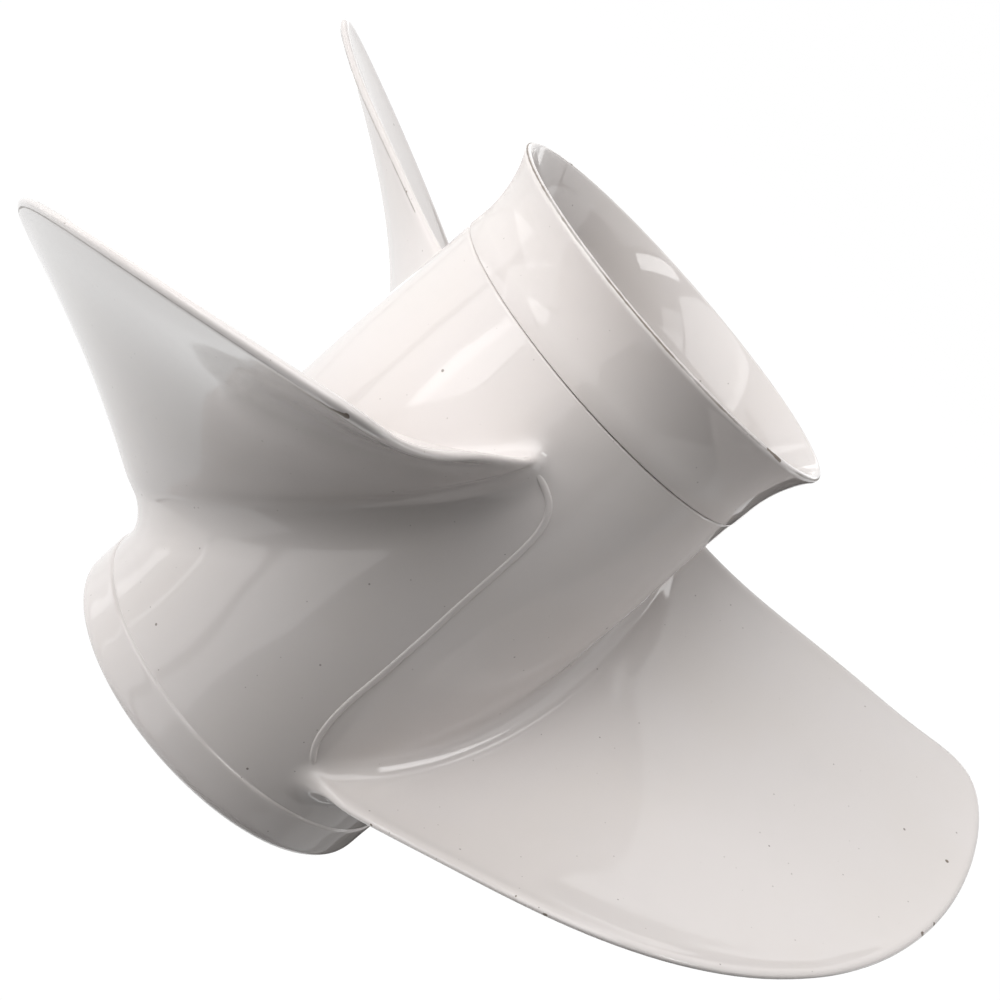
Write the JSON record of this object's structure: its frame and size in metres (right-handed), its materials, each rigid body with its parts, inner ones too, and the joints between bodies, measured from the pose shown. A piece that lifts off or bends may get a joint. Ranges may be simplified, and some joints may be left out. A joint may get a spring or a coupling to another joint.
{
  "type": "outboard motor propeller",
  "caption": "Painted cast aluminium marine propeller with wide twisted blades, a hollow hub for exhaust, a flared rear ring and a splined sleeve in a rubber bush.",
  "frame": {"origin": "on the shaft axis, in the plane of the front rim that the part stands on", "axes": "+Z along the shaft axis from the front rim to the flared rear end; +X is near the middle of one blade's root"},
  "size_m": [0.3206, 0.336, 0.175],
  "materials": {
    "hub_paint": "glossy off-white paint with fine specks and worn edges",
    "ring_paint": "glossy off-white paint with a worn rim",
    "bush_rubber": "dull black rubber",
    "sleeve_metal": "machined metal with a thin film of grease"
  },
  "bodies": {
    "root": {"propeller_casting": "hub_paint", "flared_ring": "ring_paint", "rubber_bush": "bush_rubber", "splined_sleeve": "sleeve_metal"}
  },
  "joints": []
}
